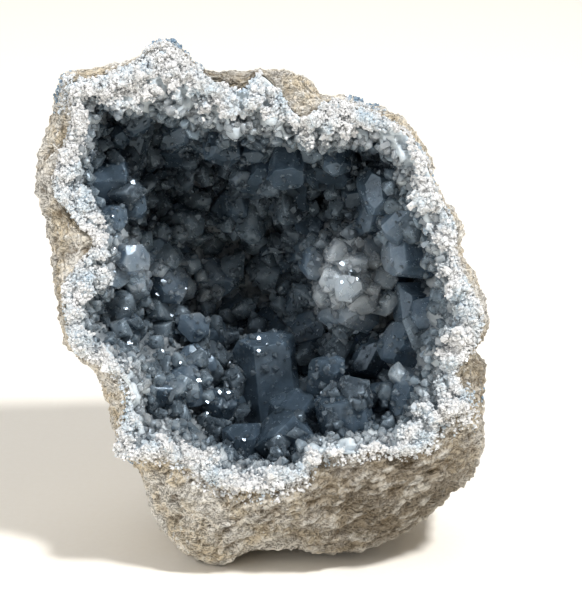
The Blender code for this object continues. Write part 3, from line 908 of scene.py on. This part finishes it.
def clear_celestite(name, clearness, milk, density, dullness, etched):
    """Smoky-blue celestite: glassy, lightly etched faces over a milky inside in which light wanders.

    Milk is the colour that its veils scatter: deep in the hollow, on its walls and at the rim. Its darker
    colours deeper in are painted shade, and the spots in the pale attribute painted light and shade.
    """
    material, tree, shader = new_material(name)
    place = add_node(tree, "TexCoord", {}, "Object")
    veils = {"Vector": place, "Scale": 1 / 0.009, "Detail": 6, "Roughness": 0.68}
    veils = add_node(tree, "TexNoise", veils)
    veils = {"Value": veils, "From Min": 0.3, "From Max": 0.7, "To Min": -0.26, "To Max": 0.26}
    veils = add_node(tree, "MapRange", veils)
    pale = add_node(tree, "Attribute", {}, "Fac", attribute_name="pale")
    pale = add_node(tree, "Math", {0: pale, 1: veils}, operation="ADD", use_clamp=True)
    deep, wall, rim = (linear(colour) for colour in milk)
    walled = add_node(tree, "MapRange", {"Value": pale, "From Max": 0.4})
    colour = add_node(tree, "Mix", {0: walled, 6: deep, 7: wall}, 2, data_type="RGBA")
    rimmed = add_node(tree, "MapRange", {"Value": pale, "From Min": 0.4})
    colour = add_node(tree, "Mix", {0: rimmed, 6: colour, 7: rim}, 2, data_type="RGBA")
    etching = {"Vector": place, "Scale": 1 / 0.0022, "Detail": 4, "Roughness": 0.65}
    etching = add_node(tree, "TexNoise", etching)
    dust = {"Value": etching, "From Min": 0.6, "From Max": 0.72, "To Max": 0.35}
    dust = add_node(tree, "MapRange", dust)
    colour = add_node(tree, "Mix", {0: dust, 6: colour, 7: rim}, 2, data_type="RGBA")
    tree.links.new(colour, shader.inputs["Base Color"])
    least, most = dullness
    dullness = {"Value": etching, "From Min": 0.35, "From Max": 0.65, "To Min": least, "To Max": most}
    tree.links.new(add_node(tree, "MapRange", dullness), shader.inputs["Roughness"])
    shader.inputs["IOR"].default_value = CELESTITE_INDEX
    shader.inputs["Transmission Weight"].default_value = clearness
    shader.inputs["Subsurface Weight"].default_value = 1
    shader.inputs["Subsurface Radius"].default_value = (1, 1, 1)
    shader.inputs["Subsurface Scale"].default_value = VEIL_DEPTH
    shader.inputs["Specular Tint"].default_value = linear(SHEEN)
    bump = add_node(tree, "Bump", {"Height": etching, "Strength": etched, "Distance": 0.0006})
    tree.links.new(bump, shader.inputs["Normal"])
    if density:
        smoke = add_node(tree, "VolumeAbsorption", {"Color": linear("#93a6b4"), "Density": density})
        tree.links.new(smoke, tree.nodes["Material Output"].inputs["Volume"])
    return material


def crystal_piece(name, bm, material):
    paled(bm)
    bmesh.ops.transform(bm, verts=bm.verts, matrix=STANDING)
    return finished_piece(name, mesh_from(bm, name, False), material)


growth = Random(SEED)
chipping = Random(SEED + 1)
big_crystals = bmesh.new()
lesser_crystals = bmesh.new()
rooted = grow_big_crystals(big_crystals, growth, chipping)
grow_lesser_crystals(lesser_crystals, rooted, growth, chipping)
# Colours deep in the hollow, on its walls and at the rim; the darker deep ones are painted shade.
big_milk_and_depth_shade = ("#4e5f6e", "#7a8fa2", "#c6d0d8")
big_blue = clear_celestite("clear_blue_celestite", 0.5, big_milk_and_depth_shade, 40, (0.05, 0.3), 0.5)
big_piece = crystal_piece("big_crystals", big_crystals, big_blue)
lesser_piece = crystal_piece("lesser_crystals", lesser_crystals, big_blue)


# The crystals that cover the walls between the big ones.
# Stubby celestite crystals grown into each other all over the crust: blocks of five to twelve
# millimetres, and between them a crowd of smaller ones. A few bodies are each set many times.

# Where the big crystals' faces stay almost bare, each seen at (across, up) with its radius, and the
# share of the small ones that grows there all the same.
BARE = (
    (44, 14, 8), (50, 2, 6), (44, -5, 7), (35, 35, 7), (42, -24, 7), (3, -36, 13), (7, 44, 8),
    (-54, 40, 6),
)
BARE_SHARE = 0.12

# Each growth of small crystals: the least and the greatest width, how much commoner the small ones
# are, the most there may be, how far apart they stand for their width, and the places tried for each.
BLOCKS = ((0.005, 0.0125), 1.3, 440, 0.33, 12)
RIM_BLOCKS = ((0.0026, 0.0062), 1.2, 700, 0.33, 20)
WALL_CRYSTALS = ((0.001, 0.0031), 1.8, 4400, 0.4, 12)

# How far past the mouth each of them starts and ends.
BLOCK_REACHES = (0.003, 1)
RIM_BLOCK_REACHES = (-0.0074, 0.006)
WALL_REACHES = (-0.0075, 1)

# The greatest width a block has at the mouth, and how much wider it may be for every metre past it.
BLOCK_ROOM = (0.004, 0.3)
RIM_BLOCK_ROOM = (0.0044, 0.2)

# Small crystals whose ends flash in the lamp, each seen at (across, up) with its width in millimetres.
GLINTS = (
    (39, -38, 2.8), (51, -17, 2.2), (-24, 6, 2.0), (-44, 24, 1.8), (-3, -13, 1.8), (42, 12, 1.8),
    (-23, -27, 1.7), (-47, -3, 1.6), (45, 11, 1.5), (-16, -31, 1.5), (32, -16, 1.5), (-20, -34, 1.3),
    (-13, -31, 1.2), (36, -13, 1.2), (17, -3, 1.1), (-3, -17, 1.2), (-20, -38, 1.1), (-32, -5, 1.1),
    (-35, -17, 1.1), (-51, 28, 1.0), (39, 14, 1.0), (47, 21, 1.0), (43, 26, 1.0), (12, -8, 1.0),
    (-29, -21, 1.0), (-31, 10, 1.0), (25, 12, 2.4), (28, 10, 2.0), (27, 15, 1.6), (30, 7, 1.3),
    (25, 6, 1.2),
)

# The ways to the lamp and to the camera, and the way that such an end faces, halfway between them. It
# faces the middle by so much more for every metre that it stands to a side.
LAMP_WAY = Vector((0.41, -0.41, 0.82)).normalized()
CAMERA_WAY = Vector((0, -0.951, 0.309))
FLASH_WAY = (LAMP_WAY + CAMERA_WAY).normalized()
FLASH_TURN = 0.6

# From in front of the mouth to past the hollow's floor.
THROUGH_MOUTH = (-0.05, 0.1)

# How the small crystals differ. Their measures are shares of their width.
SHAPES = 14
BLOCK_WEAR = 0.12
UNIT_RADII = (0.5, 0.64)
UNIT_ROOT = 0.6
UNIT_BREADTHS = (0.6, 1)
UNIT_ENDS = (28, 58)
UNIT_RIDGES = (0, 0.2)
SLOPE_STRAY = 0.15
SCALE_STRAY = (0.85, 1.15)


def triangles_of(made):
    """A piece's triangles, as an array of their corners' places."""
    mesh = made.data
    mesh.calc_loop_triangles()
    corners = np.empty(len(mesh.loop_triangles) * 3, dtype=np.int32)
    mesh.loop_triangles.foreach_get("vertices", corners)
    places = np.empty(len(mesh.vertices) * 3, dtype=np.float32)
    mesh.vertices.foreach_get("co", places)
    return places.reshape(-1, 3)[corners].reshape(-1, 3, 3)


def tree_of(pieces):
    """The triangles of some pieces, for rays to hit."""
    corners = np.concatenate([triangles_of(piece) for piece in pieces]).reshape(-1, 3).tolist()
    return BVHTree.FromPolygons(corners, [(i, i + 1, i + 2) for i in range(0, len(corners), 3)])


def in_order(faces):
    """The same triangles in the same order at every run, which Blender's own order isn't."""
    starts = [face.index(min(face)) for face in faces]
    return sorted(face[start:] + face[:start] for face, start in zip(faces, starts))


def small_shapes(lengths, slopes, wear, rng):
    """Crystals one unit wide, as points and triangles, with few sides because they are set so often."""
    shapes = []
    root, end = UNIT_RADII
    for _ in range(SHAPES):
        length = rng.uniform(*lengths)
        bm = bmesh.new()
        bmesh.ops.create_cone(bm, cap_ends=True, segments=4, radius1=root, radius2=end, depth=1)
        bmesh.ops.scale(bm, verts=bm.verts, vec=(1, rng.uniform(*UNIT_BREADTHS), UNIT_ROOT + length))
        bmesh.ops.translate(bm, verts=bm.verts, vec=(0, 0, (length - UNIT_ROOT) / 2))
        for i in range(slopes):
            turn = math.tau * (i + rng.uniform(-SLOPE_STRAY, SLOPE_STRAY)) / slopes
            aside = Vector((math.cos(turn), math.sin(turn), 0))
            start = aside * rng.uniform(*UNIT_RIDGES) + Vector((0, 0, length))
            fall = math.radians(rng.uniform(*UNIT_ENDS))
            cut_away(bm, start, aside * math.sin(fall) + Vector((0, 0, math.cos(fall))))
        if wear:
            worn(bm, wear)
        bmesh.ops.triangulate(bm, faces=bm.faces)
        bmesh.ops.recalc_face_normals(bm, faces=bm.faces)
        bm.verts.index_update()
        points = np.array([vertex.co[:] for vertex in bm.verts])
        faces = [[vertex.index for vertex in face.verts] for face in bm.faces]
        bm.free()
        shapes.append((points, np.array(in_order(faces))))
    return shapes


# A place in front of the mouth, which every small crystal has to face.
FRONT_MIDDLE = STANDING @ Vector((0, -0.15, 0))
FROM_STANDING = STANDING.inverted()


class Ground:
    """What small crystals grow on: faces of some pieces, within a reach past the mouth, that face it."""

    def __init__(self, pieces, blockers, reach):
        self.triangles = np.concatenate([triangles_of(piece) for piece in pieces])
        self.tree = tree_of([*pieces, *blockers])
        nearest, furthest = reach
        middles = [FROM_STANDING @ Vector(middle) for middle in self.triangles.mean(axis=1)]
        pasts = np.array([past_mouth(middle) for middle in middles])
        self.triangles = self.triangles[(pasts > nearest) & (pasts < furthest)]
        sides = self.triangles[:, 1:] - self.triangles[:, :1]
        crosses = np.cross(sides[:, 0], sides[:, 1])
        areas = np.linalg.norm(crosses, axis=1)
        self.normals = crosses / np.maximum(areas, 1e-12)[:, None]
        self.shares = areas / areas.sum()

    def picked(self, count, rng):
        """Open places on the ground, evenly by area, each with its normal."""
        chosen = rng.choice(len(self.shares), count, p=self.shares)
        u, v = rng.random((2, count))
        folded = u + v > 1
        u[folded], v[folded] = 1 - u[folded], 1 - v[folded]
        a, b, c = (self.triangles[chosen, i] for i in range(3))
        places = a + (b - a) * u[:, None] + (c - a) * v[:, None]
        for place, normal in zip(places, self.normals[chosen]):
            start = Vector(place)
            way = Vector(normal)
            if way.dot(FRONT_MIDDLE - start) < 0:
                continue
            hit = self.tree.ray_cast(start + way * 0.2 * MM, way)
            if hit[0] is None or hit[1].dot(way) < 0:
                yield start, way


class Spacing:
    """Keeps the crystals of one growth apart, by the sizes that they ask for."""

    def __init__(self, cell):
        self.cell = cell
        self.cells = {}

    def takes(self, place, apart):
        key = tuple(math.floor(x / self.cell) for x in place)
        reach = range(-1, 2)
        for i in reach:
            for j in reach:
                for k in reach:
                    for near, wide in self.cells.get((key[0] + i, key[1] + j, key[2] + k), ()):
                        if (near - place).length < min(apart + wide, self.cell):
                            return False
        self.cells.setdefault(key, []).append((place, apart))
        return True


def has_room(place, size, room):
    """Whether a crystal isn't too wide for how far past the mouth it is."""
    widest, growth = room
    return size < widest + growth * past_mouth(FROM_STANDING @ place)


def is_wall(place, rng):
    """Whether wall crystals grow here: seldom where the big faces are bare."""
    across, up = seen(FROM_STANDING @ place)
    bare = any(math.hypot(across - x, up - z) < radius for x, z, radius in BARE)
    return not bare or rng.random() < BARE_SHARE


def planted(growth, offered, accepts, rng):
    """Where a growth stands among the places offered, with the way each faces and its size."""
    sizes, smallness, count, spacing, tries = growth
    keeper = Spacing(2 * spacing * sizes[1])
    plants = []
    for place, normal in offered(count * tries, rng):
        size = blend(*sizes, rng.random() ** smallness)
        if accepts(place, size) and keeper.takes(place, size * spacing):
            plants.append((place, normal, size))
            if len(plants) == count:
                break
    return plants


def joined_crystals(name, shapes, plants, material, rng, tilt, stray_tone, smooth=False):
    """One piece of many small crystals, tilted at random. Each is about as pale as its place is."""
    points = []
    faces = []
    tones = []
    count = 0
    for place, normal, size in plants:
        shape_points, shape_faces = shapes[rng.integers(len(shapes))]
        way = (normal + Vector(rng.uniform(-tilt, tilt, 3))).normalized()
        spin = Matrix.Rotation(rng.uniform(0, math.tau), 3, "Z")
        turn = way.to_track_quat("Z", "Y").to_matrix() @ spin
        matrix = np.array(turn) * size * rng.uniform(*SCALE_STRAY, 3)
        points.append(shape_points @ matrix.T + np.array(place))
        faces.append(shape_faces + count)
        # Each takes its place's paleness, painted shade and light included, with a random stray.
        tone = paleness(FROM_STANDING @ place) + rng.normal(0, stray_tone)
        tones.append(np.full(len(shape_points), min(max(tone, 0), 1)))
        count += len(shape_points)
    mesh = bpy.data.meshes.new(name)
    mesh.from_pydata(np.concatenate(points).tolist(), [], np.concatenate(faces).tolist())
    mesh.attributes.new("pale", "FLOAT", "POINT").data.foreach_set("value", np.concatenate(tones))
    mesh.polygons.foreach_set("use_smooth", [smooth] * len(mesh.polygons))
    return finished_piece(name, mesh, material)


def flashing(pieces):
    """Where the glinting crystals stand on these pieces, with the way they face and their sizes."""
    tree = tree_of(pieces)
    plants = []
    for across, up, width in GLINTS:
        start, end = (STANDING @ unseen(across, up, depth) for depth in THROUGH_MOUTH)
        place, *_ = tree.ray_cast(start, end - start)
        away = place.x * FLASH_TURN, 0, (place.z - FRONT_MIDDLE.z) * FLASH_TURN
        plants.append((place, (FLASH_WAY - Vector(away)).normalized(), width * MM))
    return plants


wall_rng = np.random.default_rng(SEED)
# Colours deep in the hollow, on its walls and at the rim; the darker deep ones are painted shade.
wall_milk_and_depth_shade = ("#535f69", "#8494a0", "#ccd6de")
wall_blue = clear_celestite("blue_grey_celestite", 0.4, wall_milk_and_depth_shade, 0, (0.06, 0.34), 0.5)
glassy_blue = clear_celestite("glassy_celestite", 0.5, wall_milk_and_depth_shade, 0, (0.1, 0.2), 0.1)

block_shapes = small_shapes((0.4, 0.9), 3, BLOCK_WEAR, Random(SEED))
wall_ground = Ground([crust_piece, lesser_piece], [big_piece], BLOCK_REACHES)
blocks = planted(
    BLOCKS,
    wall_ground.picked,
    lambda place, size: is_wall(place, wall_rng) and has_room(place, size, BLOCK_ROOM),
    wall_rng,
)
rim_ground = Ground([crust_piece], [big_piece], RIM_BLOCK_REACHES)
blocks += planted(
    RIM_BLOCKS,
    rim_ground.picked,
    lambda place, size: has_room(place, size, RIM_BLOCK_ROOM),
    wall_rng,
)
block_piece = joined_crystals(
    "wall_blocks", block_shapes, blocks, wall_blue, wall_rng, tilt=0.45, stray_tone=0.06, smooth=True
)

wall_shapes = small_shapes((0.35, 0.8), 3, 0, Random(SEED))
small_ground = Ground([crust_piece, lesser_piece, big_piece, block_piece], [], WALL_REACHES)
small_plants = planted(
    WALL_CRYSTALS, small_ground.picked, lambda place, size: is_wall(place, wall_rng), wall_rng
)
wall_piece = joined_crystals(
    "wall_crystals", wall_shapes, small_plants, glassy_blue, wall_rng, tilt=0.55, stray_tone=0.07
)

glint_shapes = small_shapes((0.2, 0.3), 0, 0, Random(SEED))
glints = flashing([crust_piece, lesser_piece, big_piece, block_piece, wall_piece])
joined_crystals("glinting_crystals", glint_shapes, glints, glassy_blue, wall_rng, tilt=0, stray_tone=0.05)


# The druse of the broken band around the mouth.
# A sugary coat of tiny white to pale-blue celestite crystals, half a millimetre to three across.
# It thins out over the limestone next to it. Modelled as many set bodies, each a block with an end.

# Its grains, the finer dust on them and what is spilt over the limestone, each as for the walls.
DRUSE = ((0.0011, 0.0029), 2.4, 5500, 0.3, 8)
DUST = ((0.0005, 0.0013), 1.5, 9500, 0.33, 8)
SPILT_DRUSE = ((0.0005, 0.0015), 1.8, 2600, 0.3, 6)
RIM_REACHES = (-1, 0.003)

# How much the grains tilt, how much paler or darker one is than the next, and how deep light wanders.
DRUSE_TILT = 0.9
DRUSE_STRAY = 0.08
SPILT_STRAY = 0.1
DRUSE_DEPTH = 0.0008

# How far past the mouth the druse ends, at the least and the most, and how wide and ragged its bits are.
RIM_EDGES = (-0.0096, -0.0042)
RIM_EDGE_SIZE = 0.005
RAGGEDNESS = 0.8

# Where it ends further out, as (across, up) in the plane of the mouth with a radius, and by how much.
THIN = ((-6, 52, 12), (22, -45, 12), (-39, -33, 9), (44, 50, 8), (36, 46, 9))
THINNED = 0.0045

# How far druse is spilt over the limestone, at the sides and below the mouth.
SPILT_REACHES = (0.001, 0.005)

# Where more of it lies, as (across, up) in the plane of the mouth with a radius, and the share that
# lies there.
DRIFTS = ((-31, 84, 9), (-36, 84, 7), (-24, 80, 7), (33, 67, 6), (64, -36, 7), (-66, 70, 6))
DRIFT_SHARE = 0.5

# Where none of it does.
CLEAN = ((-12, 76, 9), (10, 70, 12), (-58, 72, 6))


def sugary_celestite():
    """White to pale-blue sugar of crystals: milky with light inside, under glassy faces that sparkle."""
    material, tree, shader = new_material("sugary_celestite")
    place = add_node(tree, "TexCoord", {}, "Object")
    milk = {"Vector": place, "Scale": 1 / 0.01, "Detail": 4, "Roughness": 0.6}
    milk = add_node(tree, "TexNoise", milk)
    milk = add_node(tree, "MapRange", {"Value": milk, "From Min": 0.34, "From Max": 0.56})
    light = {0: milk, 6: linear("#cfdeea"), 7: linear("#ffffff")}
    light = add_node(tree, "Mix", light, 2, data_type="RGBA")
    pale = add_node(tree, "Attribute", {}, "Fac", attribute_name="pale")
    pale = add_node(tree, "MapRange", {"Value": pale, "From Min": 0.4, "From Max": 0.92})
    colour = add_node(tree, "Mix", {0: pale, 6: linear("#8fa6ba"), 7: light}, 2, data_type="RGBA")
    tree.links.new(colour, shader.inputs["Base Color"])
    shader.inputs["Roughness"].default_value = 0.12
    shader.inputs["IOR"].default_value = CELESTITE_INDEX
    shader.inputs["Transmission Weight"].default_value = 0.2
    shader.inputs["Subsurface Weight"].default_value = 1
    shader.inputs["Subsurface Radius"].default_value = (1, 1, 1)
    shader.inputs["Subsurface Scale"].default_value = DRUSE_DEPTH
    return material


def is_rim(place, size):
    """Whether druse grows here: over the band, ending in a ragged edge about at the mouth."""
    point = FROM_STANDING @ place
    ragged = 0.5 + RAGGEDNESS * noise.noise(point / RIM_EDGE_SIZE)
    across, up = seen(point)
    thin = sum(math.exp(-((across - x) ** 2 + (up - z) ** 2) / radius**2) for x, z, radius in THIN)
    return past_mouth(point) < blend(*RIM_EDGES, ragged) - THINNED * min(1.0, thin)


def spilt(count, rng):
    """Places on the limestone close to the seam, closer together towards it, each with its normal."""
    tree = tree_of([rock_piece])
    inward = STANDING.to_3x3() @ Vector((0, 1, 0))
    in_front = THROUGH_MOUTH[0]
    for _ in range(count):
        if rng.random() < DRIFT_SHARE:
            across, up, radius = DRIFTS[rng.integers(len(DRIFTS))]
            drift = Vector((across, 0, up)) + Vector((rng.normal(), 0, rng.normal())) * radius / 2
            start = drift * MM + Vector((0, in_front, 0))
        else:
            angle = rng.uniform(-math.pi, math.pi)
            reach = blend(*SPILT_REACHES, footward(angle)) * rng.random() ** 2
            start = polar_point(angle, seam(angle) + reach, in_front)
        place, normal, *_ = tree.ray_cast(STANDING @ start, inward)
        if place:
            yield place, normal


def is_spilt(place, size):
    """Whether druse lies on the limestone here."""
    across, up = seen(FROM_STANDING @ place)
    return all(math.hypot(across - x, up - z) > radius for x, z, radius in CLEAN)


druse_rng = np.random.default_rng(SEED + 2)
grains = small_shapes((0.4, 0.9), 2, 0, Random(SEED + 3))
sugar = sugary_celestite()
druse_ground = Ground([crust_piece], [big_piece, block_piece, rock_piece], RIM_REACHES)
druse = planted(DRUSE, druse_ground.picked, is_rim, druse_rng)
druse_piece = joined_crystals("rim_druse", grains, druse, sugar, druse_rng, DRUSE_TILT, DRUSE_STRAY)

dust_ground = Ground([crust_piece, block_piece, druse_piece], [big_piece, rock_piece], RIM_REACHES)
dust = planted(DUST, dust_ground.picked, is_rim, druse_rng)
joined_crystals("fine_druse", grains, dust, sugar, druse_rng, DRUSE_TILT, DRUSE_STRAY)

spilt_druse = planted(SPILT_DRUSE, spilt, is_spilt, druse_rng)
joined_crystals("spilt_druse", grains, spilt_druse, sugar, druse_rng, DRUSE_TILT, SPILT_STRAY)


# The floor, the lights and the camera.
# A plain white table under a broad soft box, with one lamp high at the right front and a dim
# card at the left, and a camera a little above the geode.

FLOOR_SIZE = 6.0
LAMP_DISTANCE = 2.0
ROOM_LIGHT = 0.27
CAMERA_ELEVATION = math.radians(18)
LENS = 139.2
SENSOR_WIDTH = 36
AIM = Vector((0.0094, -0.0457, 0.0985))


def white_paper():
    """Matt white paper, with a faint grain."""
    material, tree, shader = new_material("white_paper")
    place = add_node(tree, "TexCoord", {}, "Object")
    grain = add_node(tree, "TexNoise", {"Vector": place, "Scale": 1 / 0.002})
    grain = {0: grain, 6: linear("#f6f0e5"), 7: linear("#faf5ec")}
    tree.links.new(add_node(tree, "Mix", grain, 2, data_type="RGBA"), shader.inputs["Base Color"])
    shader.inputs["Roughness"].default_value = 0.9
    shader.inputs["Specular IOR Level"].default_value = 0.1
    return material


def area_light(name, place, target, size, power):
    light = bpy.data.lights.new(name, "AREA")
    light.shape = "DISK"
    light.size = size
    light.energy = power
    made = bpy.data.objects.new(name, light)
    made.location = place
    made.rotation_euler = (Vector(target) - Vector(place)).to_track_quat("-Z", "Y").to_euler()
    bpy.context.scene.collection.objects.link(made)


floor_grid = bmesh.new()
bmesh.ops.create_grid(floor_grid, x_segments=1, y_segments=1, size=FLOOR_SIZE / 2)
floor_mesh = mesh_from(floor_grid, "floor", False)
floor_mesh.materials.append(white_paper())
floor = bpy.data.objects.new("floor", floor_mesh)
bpy.context.scene.collection.objects.link(floor)

area_light("lamp", AIM + LAMP_DISTANCE * LAMP_WAY, AIM, size=0.28, power=45)
area_light("soft_box", (-0.15, 0.95, 1.15), (-0.15, 0.95, 0), size=1.4, power=8.5)
area_light("card", (-1.0, -0.7, 0.62), AIM, size=1.2, power=9)

world = bpy.data.worlds.new("studio")
world.use_nodes = True
world.node_tree.nodes["Background"].inputs["Color"].default_value = linear("#ffffff")
world.node_tree.nodes["Background"].inputs["Strength"].default_value = ROOM_LIGHT
bpy.context.scene.world = world
bpy.context.scene.view_settings.view_transform = "Standard"

camera_data = bpy.data.cameras.new("camera")
camera_data.sensor_fit = "HORIZONTAL"
camera_data.sensor_width = SENSOR_WIDTH
camera_data.lens = LENS
camera = bpy.data.objects.new("camera", camera_data)
behind = Vector((0, -math.cos(CAMERA_ELEVATION), math.sin(CAMERA_ELEVATION)))
camera.location = AIM + VIEW_DISTANCE * behind
camera.rotation_euler = (math.pi / 2 - CAMERA_ELEVATION, 0, 0)
bpy.context.scene.collection.objects.link(camera)
bpy.context.scene.camera = camera
